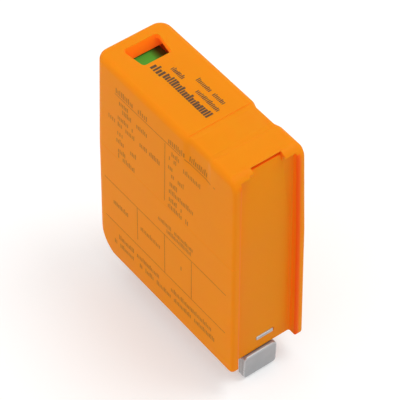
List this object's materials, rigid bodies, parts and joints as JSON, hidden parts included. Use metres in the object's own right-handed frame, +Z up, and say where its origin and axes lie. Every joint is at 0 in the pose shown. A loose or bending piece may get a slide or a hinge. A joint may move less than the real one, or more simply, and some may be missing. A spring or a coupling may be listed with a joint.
{
  "type": "plug-in surge arrester module",
  "caption": "Flat plug-in surge arrester module with hooked contact blades, a varistor and a thermal disconnector whose slider changes the status flag from green to red.",
  "frame": {"origin": "centre of the underside of the base plate, on the plane that seats on the base", "axes": "+X along the case towards the end with the latch channel, +Y across it away from the label side, +Z up out of the base"},
  "size_m": [0.0448, 0.0178, 0.0595],
  "materials": {
    "case_orange": "moulded, fine satin texture",
    "natural_plastic": "moulded, uncoloured",
    "black_plastic": "moulded",
    "varistor_coating": "dipped coating",
    "copper": null,
    "tinned_copper": "tin-plated copper strip, satin",
    "steel": "drawn steel, bright",
    "solder": "low-melting solder, dull",
    "flag_green": "moulded",
    "plate_red": "moulded"
  },
  "bodies": {
    "case": {"housing_cover": "case_orange", "base_plate": "case_orange", "mechanism_frame": "natural_plastic", "varistor_block": "varistor_coating", "near_electrode": "copper", "far_electrode": "copper", "front_contact_blade": "tinned_copper", "rear_contact_blade": "tinned_copper", "braided_link": "copper", "solder_joint": "solder", "pivot_pin": "steel", "status_plate_red": "plate_red", "slider_spring": "steel", "spring_guide_pin": "steel", "braid_rivet": "copper", "electrode_rivet": "copper", "coding_peg_front": "black_plastic", "coding_peg_rear": "black_plastic"},
    "slider": {"trip_slider": "natural_plastic", "status_flag_green": "flag_green"},
    "arm": {"disconnect_arm": "copper"}
  },
  "joints": [
    {"name": "trip_slide", "type": "slide", "parent": "case", "child": "slider", "axis": [1, 0, 0], "range_m": [0, 0.007], "deforming": ["slider_spring"]},
    {"name": "arm_hinge", "type": "hinge", "parent": "case", "child": "arm", "pos_m": [0.004, -0.00227, 0.013], "axis": [0, 1, 0], "range_deg": [0, 20.1]}
  ],
  "couplings": [
    {"joint": "arm_hinge", "follows": "trip_slide", "rad_per_m": 50}
  ]
}
